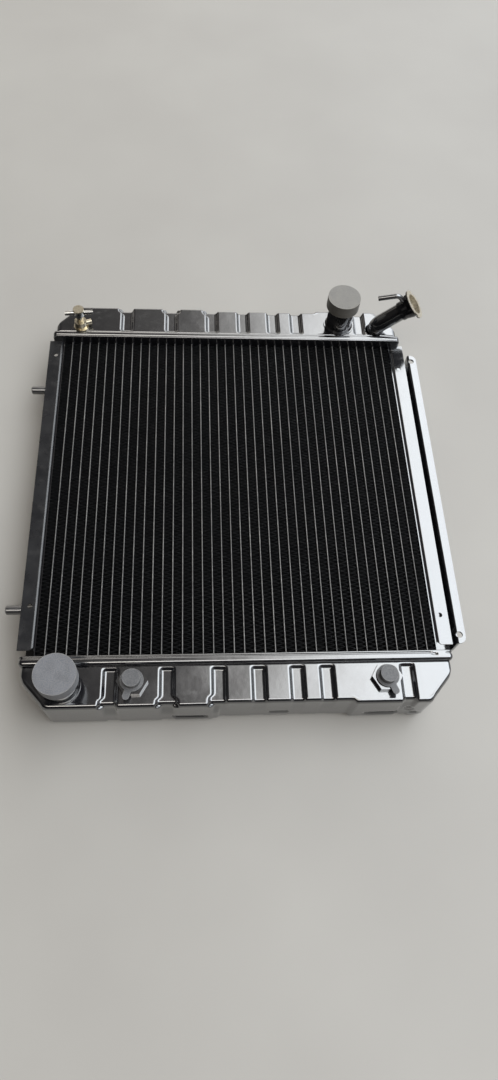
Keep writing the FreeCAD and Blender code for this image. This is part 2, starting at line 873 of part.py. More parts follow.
def draw_bent_path(sketch, start, bend_start, centre, radius, angles, bend_end, end):
    """A line, an arc tangent to it and a second line, all held at formulas."""
    lines = []
    for first, last in ((start, bend_start), (bend_end, end)):
        points = [Vector(number(x), number(z), 0) for x, z in (first, last)]
        line = sketch.addGeometry(Part.LineSegment(*points))
        pin_point(sketch, line, 1, *first)
        pin_point(sketch, line, 2, *last)
        lines.append(line)
    hub = Vector(number(centre[0]), number(centre[1]), 0)
    low, high = (number(angle) * DEGREE for angle in angles)
    circle = Part.Circle(hub, Vector(0, 0, 1), number(radius))
    arc = sketch.addGeometry(Part.ArcOfCircle(circle, low, high))
    bend_from = Vector(number(bend_start[0]), number(bend_start[1]), 0)
    runs_forward = (circle.value(low) - bend_from).Length < 1e-3
    first, last = (1, 2) if runs_forward else (2, 1)
    sketch.addConstraint(Sketcher.Constraint("Tangent", lines[0], 2, arc, first))
    sketch.addConstraint(Sketcher.Constraint("Coincident", arc, last, lines[1], 1))


def filler_pipe():
    """Straight out of the tank's face, round a bend towards +X and up to the mouth."""
    body = new_body("filler_pipe")
    rise = "root_reach + filler_rise"
    end_x = "filler_bend * (1 - cos(filler_angle))"
    end_z = f"{rise} + filler_bend * sin(filler_angle)"
    path = (
        ("0", "0"),
        ("0", rise),
        ("filler_bend", rise),
        "filler_bend",
        ("180 - filler_angle", "180"),
        (end_x, end_z),
        (f"{end_x} + filler_run * sin(filler_angle)", f"{end_z} + filler_run * cos(filler_angle)"),
    )
    swept_tube(body, "XY_Plane", "0", "filler_radius", "filler_wall", path)
    place(body, ("filler_x", "filler_y", "tank_top - root_reach"))


MOUTH = ("mouth_x", "filler_y", "mouth_z")


def filler_mouth():
    """Sleeve on the pipe, seat for a pressure cap's seal, cup and flange."""
    sleeve = "filler_radius + solder_gap"
    cup = "mouth_bore + mouth_sheet"
    body = turned(
        "filler_mouth",
        [
            (sleeve, "-mouth_deep - mouth_sleeve"),
            (f"{sleeve} + mouth_sheet", "-mouth_deep - mouth_sleeve"),
            (f"{sleeve} + mouth_sheet", "-mouth_deep"),
            ("mouth_waist + mouth_sheet", "-mouth_deep"),
            (cup, "-mouth_straight - mouth_sheet"),
            (cup, "-mouth_sheet"),
            ("mouth_radius - mouth_sheet", "-mouth_sheet"),
            ("mouth_radius - mouth_sheet", "-mouth_lip"),
            ("mouth_radius", "-mouth_lip"),
            ("mouth_radius", "0"),
            ("mouth_bore", "0"),
            ("mouth_bore", "-mouth_straight"),
            ("mouth_waist", "mouth_seat - mouth_deep"),
            ("filler_radius - filler_wall", "mouth_seat - mouth_deep"),
            ("filler_radius - filler_wall", "-mouth_deep"),
            (sleeve, "-mouth_deep"),
        ],
        MOUTH,
        (0, 1, 0),
        "filler_angle",
    )
    notches = new_sketch(body, "XY_Plane")
    tabs = new_sketch(body, "XY_Plane", "-mouth_lip")
    for side in ("", "-"):
        near, far = f"{side}(mouth_radius - mouth_notch)", f"{side}(mouth_radius + 1)"
        half = "mouth_notch_width / 2"
        draw_polygon(notches, [(f"-{half}", near), (half, near), (half, far), (f"-{half}", far)])
        near, far = f"{side}(mouth_radius - mouth_sheet)", f"{side}(mouth_radius - 0.5)"
        half = "mouth_tab_width / 2"
        draw_polygon(tabs, [(near, f"-{half}"), (near, half), (far, half), (far, f"-{half}")])
    pocket(body, notches, "mouth_lip + 1")
    pad(body, tabs, "mouth_tab", reverse=True)
    port = new_sketch(body, "YZ_Plane", f"-({cup} + 1)")
    draw_circle(port, "overflow_radius + hole_gap", "0", "-overflow_down")
    pocket(body, port, "mouth_sheet + mouth_bore / 2", reverse=True)


def overflow_pipe():
    """A small tube out of the cup's side that turns back beside the filler pipe."""
    body = new_body("overflow_pipe")
    out = "-(mouth_bore + overflow_up)"
    end_x = f"{out} - overflow_bend * sin(overflow_angle)"
    end_z = "-overflow_bend * (1 - cos(overflow_angle))"
    path = (
        ("-mouth_bore", "0"),
        (out, "0"),
        (out, "-overflow_bend"),
        "overflow_bend",
        ("90", "90 + overflow_angle"),
        (end_x, end_z),
        (
            f"{end_x} - overflow_run * cos(overflow_angle)",
            f"{end_z} - overflow_run * sin(overflow_angle)",
        ),
    )
    swept_tube(body, "YZ_Plane", "-mouth_bore", "overflow_radius", "overflow_wall", path)
    at = (
        "mouth_x - overflow_down * sin(filler_angle)",
        "filler_y",
        "mouth_z - overflow_down * cos(filler_angle)",
    )
    place(body, at, (0, 1, 0), "filler_angle")


# ---- drain cock ----------------------------------------------------------------------

DRAIN = ("drain_x", "drain_y", "tank_top")


def drain_boss():
    """A threaded boss on the tank's face: port below, chamber, and a spout out of its side."""
    body = turned(
        "drain_boss",
        [
            ("drain_port", "solder_gap"),
            ("drain_foot_radius", "solder_gap"),
            ("drain_foot_radius", "drain_floor"),
            ("drain_boss_radius", "drain_floor"),
            ("drain_boss_radius", "drain_boss_height"),
            ("drain_bore", "drain_boss_height"),
            ("drain_bore", "drain_chamber"),
            ("drain_chamber_radius", "drain_chamber"),
            ("drain_chamber_radius", "drain_floor"),
            ("drain_port", "drain_floor"),
        ],
        DRAIN,
        (0, 0, 1),
        "spout_turn",
    )
    root = "(drain_chamber_radius + drain_boss_radius) / 2"
    spout = new_sketch(body, "YZ_Plane", root)
    draw_circle(spout, "spout_radius", "0", "spout_height")
    pad(body, spout, f"spout_reach - {root}")
    bore = new_sketch(body, "YZ_Plane", "spout_reach")
    draw_circle(bore, "spout_bore", "0", "spout_height")
    pocket(body, bore, "spout_reach - drain_chamber_radius + 1")


def drain_screw():
    """The spindle with its disc, the seal under its shoulder and the wing on its neck."""
    seal_top = "drain_floor + solder_gap + seal_section"
    shank = "drain_bore - spindle_clearance"
    head = "drain_total - spindle_disc"
    turned(
        "drain_spindle",
        [
            ("0", "drain_floor + hole_gap"),
            ("spindle_tip", "drain_floor + hole_gap"),
            ("spindle_tip", f"{seal_top} + seal_play"),
            (shank, f"{seal_top} + seal_play"),
            (shank, f"{head} - wing_hub_height - solder_gap"),
            ("spindle_neck", f"{head} - wing_hub_height - solder_gap"),
            ("spindle_neck", head),
            ("spindle_disc_radius", head),
            ("spindle_disc_radius", "drain_total"),
            ("0", "drain_total"),
        ],
        DRAIN,
    )
    turned(
        "drain_seal",
        [
            ("spindle_tip + seal_play", "drain_floor + solder_gap"),
            ("seal_radius", "drain_floor + solder_gap"),
            ("seal_radius", seal_top),
            ("spindle_tip + seal_play", seal_top),
        ],
        DRAIN,
    )
    body = new_body("drain_wing")
    hub = new_sketch(body, "XY_Plane", f"{head} - wing_hub_height")
    draw_circle(hub, "wing_hub_radius")
    pad(body, hub, "wing_hub_height - solder_gap")
    bar = new_sketch(body, "YZ_Plane")
    draw_circle(bar, "wing_radius", "0", f"{head} - wing_hub_height / 2")
    pad(body, bar, "wing_span", both_ways=True)
    hole = new_sketch(body, "XY_Plane", head)
    draw_circle(hole, "spindle_neck + seal_play")
    pocket(body, hole, "wing_hub_height + 2")
    place(body, DRAIN, (0, 0, 1), "-wing_turn")


# ---- oil cooler in the outlet tank ---------------------------------------------------


def oil_cooler():
    """A closed tube round a smaller open one; oil runs between them, coolant past both."""
    length = "union_top_x - union_bottom_x + 2 * cooler_overhang"
    start = ("union_bottom_x - cooler_overhang", "union_y", "cooler_z")
    lining = "cooler_radius - cooler_wall"
    sleeve = "cooler_core_radius + solder_gap"
    shell = turned(
        "oil_cooler_shell",
        [
            (sleeve, "0"),
            ("cooler_radius", "0"),
            ("cooler_radius", length),
            (sleeve, length),
            (sleeve, f"{length} - cooler_end"),
            (lining, f"{length} - cooler_end"),
            (lining, "cooler_end"),
            (sleeve, "cooler_end"),
        ],
        start,
        (0, 1, 0),
        "90",
    )
    ports = new_sketch(shell, "YZ_Plane", "-cooler_radius - 1")
    for along_shell in ("cooler_overhang", f"{length} - cooler_overhang"):
        draw_circle(ports, "union_radius + hole_gap", "0", along_shell)
    pocket(shell, ports, "cooler_wall + 4", reverse=True)
    turned(
        "oil_cooler_core_tube",
        [
            ("cooler_core_radius - cooler_wall", "-cooler_end"),
            ("cooler_core_radius", "-cooler_end"),
            ("cooler_core_radius", f"{length} + cooler_end"),
            ("cooler_core_radius - cooler_wall", f"{length} + cooler_end"),
        ],
        start,
        (0, 1, 0),
        "90",
    )


def cooler_turbulator():
    """A pleated sleeve between the two tubes, in the middle stretch between the ports."""
    inner = number("cooler_core_radius + braze_gap")
    outer = number("cooler_radius - cooler_wall - braze_gap")
    pleats = int(number("turbulator_pleats"))
    thick = number("turbulator_thick")
    length = number("union_top_x - union_bottom_x - 4 * union_radius")

    def zigzag(low, high):
        points = []
        for index in range(2 * pleats):
            turn = 180 * index / pleats
            radius = high if index % 2 else low
            points.append(Rotation(Vector(1, 0, 0), turn).multVec(Vector(0, radius, 0)))
        return Part.Face(Part.makePolygon(points + points[:1]))

    ring = zigzag(inner + thick, outer).cut(zigzag(inner, outer - thick))
    piece = kept_shape("oil_cooler_turbulator", ring.extrude(Vector(length, 0, 0)))
    x = number("union_bottom_x + 2 * union_radius")
    piece.Placement.Base = Vector(x, number("union_y"), number("cooler_z"))


def oil_union(name, x):
    """A threaded stem from the cooler out through the tank's face, and its transport cap."""
    at = (x, "union_y", "tank_top")
    flange_top = "-(tank_wall + gasket_thick + solder_gap)"
    root = "-(cooler_below - cooler_radius + union_reach)"
    turned(
        f"{name}_oil_union",
        [
            ("union_bore", root),
            ("union_radius", root),
            ("union_radius", f"{flange_top} - union_foot"),
            ("union_foot_radius", f"{flange_top} - union_foot"),
            ("union_foot_radius", flange_top),
            ("union_radius", flange_top),
            ("union_radius", "union_stand"),
            ("union_bore", "union_stand"),
        ],
        at,
    )
    inner = "union_radius + hole_gap"
    low = "nut_thick + 2 * solder_gap + union_cap_lift"
    cap = turned(
        f"{name}_union_cap",
        [
            (inner, low),
            ("union_cap_brim", low),
            ("union_cap_brim", f"{low} + union_cap_brim_thick"),
            (f"{inner} + union_cap_wall", f"{low} + union_cap_brim_thick"),
            (f"{inner} + union_cap_wall", "union_stand + solder_gap + union_cap_wall"),
            ("0", "union_stand + solder_gap + union_cap_wall"),
            ("0", "union_stand + solder_gap"),
            (inner, "union_stand + solder_gap"),
        ],
        at,
    )
    tab = new_sketch(cap, "XY_Plane", low)
    half = "tab_width / 2"
    draw_polygon(
        tab,
        [
            (f"-({half})", "-(union_cap_brim + tab_length)"),
            (half, "-(union_cap_brim + tab_length)"),
            (half, "1 - union_cap_brim"),
            (f"-({half})", "1 - union_cap_brim"),
        ],
    )
    pad(cap, tab, "union_cap_brim_thick")
    far = number("-(union_cap_brim + tab_length)")
    round_edges(
        cap,
        "tab_width / 2 - 0.1",
        lambda edge: along(edge, (0, 0, 1)) and abs(middle(edge).y - far) < 1e-6,
    )
    place(cap, at, (0, 0, 1), f"{name}_tab_turn")


def union_row(label, low, thick, outer, hexagon=False):
    """Two rings or nuts, one on each union's stem."""
    body = new_body(label)
    sketch = new_sketch(body, "XY_Plane", low)
    if hexagon:
        draw_polygon(
            sketch,
            [
                (f"({outer}) * cos({60 * k})", f"({outer}) * sin({60 * k})")
                for k in range(6)
            ],
        )
    else:
        draw_circle(sketch, outer)
    draw_circle(sketch, "union_radius + hole_gap")
    ring = pad(body, sketch, thick)
    repeat(body, ring, sketch, "H_Axis", "union_top_x - union_bottom_x", "2")
    place(body, ("union_bottom_x", "union_y", "tank_top"))


# ---- the whole radiator --------------------------------------------------------------


def build():
    fill_sheet()
    core_tubes()
    core_fins()
    side_plates()
    header("outlet_header", -1)
    header("inlet_header", 1)
    tanks()
    side_frame("bottom_side_frame", "-", "shroud_shift_bottom")
    side_frame("top_side_frame", "", "shroud_shift_top")
    locating_pins()
    mounting_rail()
    hose_neck("outlet_neck", "outlet_neck_x", "-neck_offset", "outlet_neck_height")
    hose_neck("inlet_neck", "inlet_neck_x", "neck_offset", "inlet_neck_height")
    neck_cap("outlet_neck_cap", "outlet_neck_x", "-neck_offset", "outlet_neck_height")
    neck_cap("inlet_neck_cap", "inlet_neck_x", "neck_offset", "inlet_neck_height")
    filler_pipe()
    filler_mouth()
    overflow_pipe()
    drain_boss()
    drain_screw()
    oil_cooler()
    cooler_turbulator()
    oil_union("bottom", "union_bottom_x")
    oil_union("top", "union_top_x")
    gasket_low = "-(tank_wall + gasket_thick)"
    union_row("oil_union_gaskets", gasket_low, "gasket_thick - solder_gap", "union_foot_radius")
    union_row("oil_union_nuts", "solder_gap", "nut_thick", "nut_flats / sqrt(3)", True)
    doc.recompute()


def sub_parts():
    return [obj for obj in doc.Objects if obj.TypeId in ("PartDesign::Body", "Part::Feature")]


def check():
    """Stop on any failed object, and on any sub-part without a sound solid."""
    failed = [obj.Name for obj in doc.Objects if {"Invalid", "Error"} & set(obj.State)]
    unsound = [
        piece.Label
        for piece in sub_parts()
        if piece.Shape.isNull() or not piece.Shape.isValid() or not piece.Shape.Solids
    ]
    if failed or unsound:
        raise ValueError(f"failed: {failed}; unsound: {unsound}")


def write():
    os.makedirs("parts", exist_ok=True)
    for piece in sub_parts():
        piece.Shape.exportStep(f"parts/{piece.Label}.step")


build()
check()
write()
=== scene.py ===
import json
import math
import random

import bmesh
import bpy
from mathutils import Matrix, Vector


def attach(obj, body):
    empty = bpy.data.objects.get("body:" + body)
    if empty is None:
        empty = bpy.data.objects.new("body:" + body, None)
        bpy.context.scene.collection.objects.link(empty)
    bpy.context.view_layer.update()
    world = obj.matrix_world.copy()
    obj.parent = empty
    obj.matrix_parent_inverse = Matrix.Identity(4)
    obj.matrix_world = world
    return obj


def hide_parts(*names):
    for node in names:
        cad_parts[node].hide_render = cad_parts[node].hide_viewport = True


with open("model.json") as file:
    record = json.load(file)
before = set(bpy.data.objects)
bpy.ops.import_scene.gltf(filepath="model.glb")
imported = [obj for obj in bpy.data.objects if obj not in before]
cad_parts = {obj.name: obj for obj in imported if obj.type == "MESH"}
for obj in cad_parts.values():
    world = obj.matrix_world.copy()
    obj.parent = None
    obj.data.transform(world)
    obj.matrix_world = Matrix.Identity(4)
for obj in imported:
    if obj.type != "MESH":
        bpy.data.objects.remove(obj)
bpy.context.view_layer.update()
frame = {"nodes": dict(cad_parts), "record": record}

MM = 0.001
NODES = frame["nodes"]
SEED = 7

# ---- sizes and places, in millimetres ------------------------------------------------

HEADER_FACE = 215.0
TUBE_PITCH = 11.0
TUBE_THICK = 2.0
TUBES = 38
CORE_LOW, CORE_TOP = 10.0, 54.0
FIN_WAVE = 4.7
FIN_THICK = 0.14
FIN_HALF_RUN = 211.5
FIN_GAP, FIN_RECESS = 0.12, 0.15
FIN_LEAN = 0.10  # spread of each fold's lean

TANK_HALF = 225.0
TANK_LOW, TANK_TOP = 3.0, 61.0
TANK_MOUTH = 225.4
TANK_FACE, TANK_PLAIN = 270.0, 267.0
TANK_WALL = 1.2
TANK_BEND = 4.6
CORNER_BEND = 7.5
CUT_ALONG, CUT_IN = 26.0, 29.0
GROOVE_SHARES = (-0.596, -0.338, -0.1, 0.084, 0.262, 0.402, 0.782)
GROOVES = tuple(share * TANK_HALF for share in GROOVE_SHARES)
GROOVE_HALF_FLOOR, GROOVE_SLOPE, GROOVE_DEEP = 4.6, 4.15, 3.5
FLARED_LOW, FLARED_HIGH = (0, 1, 2), (1,)  # grooves that widen at the wall, by side
FLARE = 4.0
FADE_LEAST, FADE_FROM, FADE_OVER = 0.22, 26, 30  # grooves fade down the outer wall
LIP_SINK, LIP_WIDE = 1.6, 3.0  # the engine face dips at the header's rim
FACE_SINK, RIPPLE = 0.25, 0.05
FACE_ABOVE = 45  # holes are cut in the engine face, which is above this height
PLAIN_FROM, PLAIN_TO = -22.5, 118.0

# Steps of the tank's outline: shares of the way across the engine face, then counts.
TOP_STEPS = [0.0, 0.015, 0.03, 0.045, 0.06, 0.08, 0.1, 0.125, 0.15, 0.175, 0.2, 0.23, 0.27]
TOP_STEPS += [0.32 + (0.8 - 0.32) * i / 10 for i in range(11)] + [0.84, 0.88, 0.92, 0.96, 1.0]
BEND_STEPS, WALL_STEPS, UNDER_BEND_STEPS, UNDER_STEPS = 8, 24, 5, 6
WALL_FROM = len(TOP_STEPS) + BEND_STEPS
END_STEPS = 6
STATION_GAP = 0.6

# Dents in the near tank's outer wall: from, to, height, half width, depth.
NEAR_DENTS = (
    (-67.0, -38.0, 18.0, 5.0, 4.0),
    (35.0, 49.0, 20.0, 4.2, 3.2),
    (140.0, 167.0, 17.5, 4.8, 3.6),
    (187.0, 190.0, 18.0, 3.6, 2.4),
)
NEAR_RING = (181.0, 31.0, 4.2, 2.0, 1.2)  # place, height, radius, half width, depth

# Holes under the necks, unions, filler pipe and drain cock: place as (x, y), radius.
NEAR_HOLES = ((-183, -246, 15.8), (-111.4, -244, 4.5), (152.6, -244, 4.5))
FAR_HOLES = ((148, 246, 15.8), (193, 237, 9.5), (-193, 234, 1.7))

MOUTH_CENTRE = (0.2387297, 0.237, 0.1095312)  # metres, as the shader needs
MOUTH_AXIS = (0.71934, 0, 0.69466)
MOUTH_BORE = 13.3

HEADER_HALF = 228.0
HEADER_HIGH = 64.0
HEADER_CORNER = 5.0
HEADER_PLATE = 1.5
PLATE_INSET = 4.0
SLOT_CLEARANCE = 0.05
TUBE_ROWS = ((10.0, 23.2), (25.4, 38.6), (40.8, 54.0))
COLLAR = ((1.5, 0.02), (0.55, -0.5), (0.04, -1.6))  # solder: growth, height off the plate

# The header's rolled rim: distance from the middle, inset from the outline.
RIM_PROFILE = (
    (215.0, 4.0),
    (215.0, 1.9),
    (215.15, 1.2),
    (215.5, 0.6),
    (216.0, 0.2),
    (216.5, 0.12),
    (217.0, 0.35),
    (217.4, 0.85),
    (217.8, 1.15),
    (218.25, 1.1),
    (218.7, 0.7),
    (219.3, 0.3),
    (220.2, 0.08),
    (221.4, 0.0),
    (222.5, 0.1),
    (223.4, 0.38),
    (224.2, 0.85),
    (224.9, 1.5),
    (225.5, 2.3),
    (225.9, 3.2),
    (225.7, 4.6),
)

# Radius of the small rounds on CAD pieces that keep their own mesh.
BEVELS = {
    "outlet_neck_cap": 0.9,
    "inlet_neck_cap": 0.9,
    "bottom_union_cap": 0.6,
    "top_union_cap": 0.6,
    "oil_union_nuts": 0.5,
    "drain_spindle": 0.4,
    "drain_boss": 0.4,
    "drain_wing": 0.4,
    "bottom_side_frame": 0.35,
    "top_side_frame": 0.35,
    "top_mounting_rail": 0.5,
    "bottom_locating_pins": 0.5,
    "filler_mouth": 0.3,
}

# ---- colours and stage ---------------------------------------------------------------

# Cap plastics: dark, pale and speck.
GREY_CAP = ((0.085, 0.087, 0.097), (0.115, 0.118, 0.13), (0.21, 0.20, 0.185))
BEIGE_CAP = ((0.10, 0.096, 0.088), (0.14, 0.133, 0.12), (0.24, 0.22, 0.19))
DARK_CAP = ((0.05, 0.05, 0.054), (0.075, 0.075, 0.078), (0.16, 0.155, 0.15))

CAMERA_PLACE = (-48.9, -465.6, 805.9)
CAMERA_ELEVATION, CAMERA_YAW, CAMERA_ROLL = 62.387, 9.3695, 8.0725
CAMERA_LENS, CAMERA_SENSOR = 24.70, 36.0

FLOOR_HALF = 6000.0
PANEL, STRIP, LOW_BAND = 4.6, 5.0, 2.2  # brightness of the studio's three panels


# ---- meshes --------------------------------------------------------------------------


def new_object(name, points, faces, smooth=True):
    """A mesh object from points in millimetres."""
    mesh = bpy.data.meshes.new(name)
    mesh.from_pydata([(x * MM, y * MM, z * MM) for x, y, z in points], [], faces)
    mesh.validate()
    mesh.polygons.foreach_set("use_smooth", [smooth] * len(mesh.polygons))
    piece = bpy.data.objects.new(name, mesh)
    bpy.context.scene.collection.objects.link(piece)
    return piece


def finish_piece(piece, finish, body, slot, *nodes):
    """Give a piece its material and body, and hide the CAD nodes it stands for."""
    piece.data.materials.append(finish)
    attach(piece, body)
    if nodes:
        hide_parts(*nodes)


def grid_faces(rows, columns, close_rows=False, close_columns=False):
    """Quads over a grid of points stored row by row."""
    faces = []
    for i in range(rows if close_rows else rows - 1):
        for j in range(columns if close_columns else columns - 1):
            i2, j2 = (i + 1) % rows, (j + 1) % columns
            corners = (i * columns + j, i2 * columns + j, i2 * columns + j2, i * columns + j2)
            faces.append(corners)
    return faces


# ---- materials -----------------------------------------------------------------------


class Finish:
    """A node-based material, with short ways to add noise, mixes and bumps."""

    def __init__(self, name, **inputs):
        self.material = bpy.data.materials.new(name)
        self.material.use_nodes = True
        self.nodes = self.material.node_tree.nodes
        self.links = self.material.node_tree.links
        self.shader = self.nodes["Principled BSDF"]
        for key, value in inputs.items():
            self.shader.inputs[key.replace("_", " ")].default_value = value
        self.place = self.nodes.new("ShaderNodeTexCoord").outputs["Object"]
        self.normal = None

    def link(self, source, socket):
        """Join an output to an input."""
        self.links.new(source, socket)

    def scaled(self, stretch):
        """The object's own coordinates, stretched along its axes."""
        mapping = self.nodes.new("ShaderNodeMapping")
        mapping.inputs["Scale"].default_value = stretch
        self.link(self.place, mapping.inputs["Vector"])
        return mapping.outputs["Vector"]

    def noise(self, wavelength, detail=3.0, rough=0.5, stretch=None):
        """Noise whose features are about one wavelength across, in millimetres."""
        node = self.nodes.new("ShaderNodeTexNoise")
        node.inputs["Scale"].default_value = 1 / (wavelength * MM)
        node.inputs["Detail"].default_value = detail
        node.inputs["Roughness"].default_value = rough
        self.link(self.scaled(stretch) if stretch else self.place, node.inputs["Vector"])
        return node.outputs["Fac"]

    def ramp(self, value, low, high, start=0.0, end=1.0):
        """Map a value between two limits on to start..end, held outside them."""
        node = self.nodes.new("ShaderNodeMapRange")
        limits = {"From Min": low, "From Max": high, "To Min": start, "To Max": end}
        for key, number in limits.items():
            node.inputs[key].default_value = number
        self.link(value, node.inputs["Value"])
        return node.outputs["Result"]

    def math(self, operation, one, other):
        """One sum on two values, each a number or a socket."""
        node = self.nodes.new("ShaderNodeMath")
        node.operation = operation
        for socket, value in zip(node.inputs, (one, other)):
            if isinstance(value, (int, float)):
                socket.default_value = value
            else:
                self.link(value, socket)
        return node.outputs[0]

    def mix(self, factor, one, other):
        """Blend two colours, each a tuple or a socket."""
        node = self.nodes.new("ShaderNodeMix")
        node.data_type = "RGBA"
        self.link(factor, node.inputs["Factor"])
        for socket, value in ((node.inputs[6], one), (node.inputs[7], other)):
            if isinstance(value, tuple):
                socket.default_value = (*value, 1.0)
            else:
                self.link(value, socket)
        return node.outputs[2]

    def edge(self, radius):
        """About 1 on a convex edge and 0 on flat places; radius in millimetres."""
        bevel = self.nodes.new("ShaderNodeBevel")
        bevel.samples = 4
        bevel.inputs["Radius"].default_value = radius * MM
        geometry = self.nodes.new("ShaderNodeNewGeometry")
        dot = self.nodes.new("ShaderNodeVectorMath")
        dot.operation = "DOT_PRODUCT"
        self.link(bevel.outputs["Normal"], dot.inputs[0])
        self.link(geometry.outputs["Normal"], dot.inputs[1])
        return self.ramp(dot.outputs["Value"], 0.98, 0.8)

    def upward(self):
        """How far the surface faces straight up, from -1 to 1."""
        split = self.nodes.new("ShaderNodeSeparateXYZ")
        self.link(self.nodes.new("ShaderNodeNewGeometry").outputs["Normal"], split.inputs[0])
        return split.outputs["Z"]

    def bump(self, height, depth, strength=1.0):
        """Add a bump whose full height is depth, in millimetres."""
        node = self.nodes.new("ShaderNodeBump")
        node.inputs["Strength"].default_value = strength
        node.inputs["Distance"].default_value = depth * MM
        self.link(height, node.inputs["Height"])
        if self.normal is not None:
            self.link(self.normal, node.inputs["Normal"])
        self.normal = node.outputs["Normal"]
        self.link(self.normal, self.shader.inputs["Normal"])

    def drive(self, socket, value):
        """Let a socket set one of the shader's inputs."""
        self.link(value, self.shader.inputs[socket])


def black_gloss(name, rough=(0.10, 0.24), wave=0.4):
    """Gloss black paint over pressed metal: orange peel, slow dents, dust in patches."""
    f = Finish(name, IOR=2.1, Coat_Weight=0.6, Coat_Roughness=0.04, Coat_IOR=1.7)
    dust = f.ramp(f.noise(9.0, 6.0, 0.65), 0.52, 0.75)
    film = f.ramp(f.noise(60.0, 3.0), 0.35, 0.7)
    patch = f.math("MULTIPLY", dust, film)
    f.drive("Base Color", f.mix(patch, (0.0065, 0.0065, 0.0078), (0.03, 0.029, 0.028)))
    f.drive("Roughness", f.ramp(f.math("ADD", patch, f.noise(22.0)), 0.3, 1.2, *rough))
    f.bump(f.noise(46.0, 1.0), wave)
    f.bump(f.noise(15.0, 2.0), 0.35 * wave)
    f.bump(f.noise(1.6, 1.0), 0.012)
    return f.material


def satin_black(name):
    """Semi-gloss black paint on flat sheet: finer peel and a softer sheen."""
    f = Finish(name, IOR=1.5, Coat_Weight=0.25, Coat_Roughness=0.12)
    patch = f.ramp(f.noise(14.0, 6.0, 0.7), 0.5, 0.8)
    f.drive("Base Color", f.mix(patch, (0.009, 0.009, 0.010), (0.026, 0.025, 0.025)))
    f.drive("Roughness", f.ramp(f.noise(20.0, 5.0), 0.3, 0.7, 0.2, 0.34))
    f.bump(f.noise(50.0, 1.0), 0.12)
    f.bump(f.noise(1.4, 1.0), 0.01)
    return f.material


def fin_paint():
    """Matte black on thin folded strips, dusty at random."""
    f = Finish("fin_paint", IOR=1.45)
    patch = f.ramp(f.noise(5.0, 4.0, 0.7), 0.55, 0.8)
    f.drive("Base Color", f.mix(patch, (0.0045, 0.0048, 0.0055), (0.02, 0.02, 0.021)))
    f.drive("Roughness", f.ramp(f.noise(3.0), 0.3, 0.7, 0.42, 0.6))
    f.bump(f.noise(2.0, 3.0), 0.05)
    return f.material


def tube_metal():
    """Tube noses: thin black paint; their upward-facing tops are painted lighter grey metal as a
    painted highlight, in short stretches set by wear noise.
    """
    f = Finish("tube_metal", IOR=1.45, Metallic=0.35)
    worn = f.ramp(f.noise(4.0, 5.0, 0.7), 0.3, 0.62, 0.35, 1.0)
    long = f.ramp(f.noise(60.0, 2.0), 0.3, 0.7)
    wear = f.math("MULTIPLY", worn, f.ramp(long, 0.0, 1.0, 0.55, 1.0))
    # Painted highlight: only the upward-facing tops of the noses take the lighter grey, broken up
    # by the wear noise.
    nose_highlight_and_wear = f.math("MULTIPLY", wear, f.ramp(f.upward(), 0.8, 0.985))
    f.drive("Base Color", f.mix(nose_highlight_and_wear, (0.012, 0.012, 0.013), (0.19, 0.18, 0.168)))
    f.drive("Roughness", f.ramp(worn, 0.0, 1.0, 0.5, 0.36))
    f.bump(f.noise(2.2, 3.0), 0.08)
    return f.material


def cap_plastic(name, dark, pale, speck):
    """Moulded grey plastic with a fine speckle and rubbed edges."""
    f = Finish(name, IOR=1.46, Roughness=0.5)
    grain = f.ramp(f.noise(1.1, 2.0, 0.6), 0.42, 0.6)
    stain = f.ramp(f.noise(14.0, 5.0, 0.65), 0.35, 0.7)
    base = f.mix(stain, dark, pale)
    spotted = f.mix(f.ramp(grain, 0.0, 1.0, 0.0, 0.35), base, speck)
    f.drive("Base Color", f.mix(f.edge(1.2), spotted, speck))
    f.drive("Roughness", f.ramp(stain, 0.0, 1.0, 0.42, 0.58))
    f.bump(f.noise(0.9, 2.0), 0.04)
    return f.material


def bare_brass(name, tint=(0.62, 0.55, 0.42), rough=(0.22, 0.42)):
    """Bare tinned brass with handling stains."""
    f = Finish(name, Metallic=1.0)
    stain = f.ramp(f.noise(5.0, 5.0, 0.65), 0.35, 0.7)
    darker = tuple(0.55 * channel for channel in tint)
    f.drive("Base Color", f.mix(stain, tint, darker))
    f.drive("Roughness", f.ramp(stain, 0.0, 1.0, *rough))
    f.bump(f.noise(1.2, 4.0), 0.03)
    return f.material


def plated(name):
    """Bright plating, stained and a little worn."""
    f = Finish(name, Metallic=1.0)
    stain = f.ramp(f.noise(4.0, 4.0, 0.6), 0.4, 0.7)
    f.drive("Base Color", f.mix(stain, (0.62, 0.62, 0.6), (0.30, 0.29, 0.28)))
    f.drive("Roughness", f.ramp(stain, 0.0, 1.0, 0.16, 0.34))
    f.bump(f.noise(0.8, 3.0), 0.02)
    return f.material


def rubber(name):
    """Plain black rubber."""
    f = Finish(name, IOR=1.5)
    f.drive("Base Color", f.mix(f.noise(2.0), (0.012, 0.012, 0.012), (0.03, 0.03, 0.03)))
    f.drive("Roughness", f.ramp(f.noise(3.0), 0.3, 0.7, 0.6, 0.75))
    f.bump(f.noise(0.5), 0.02)
    return f.material


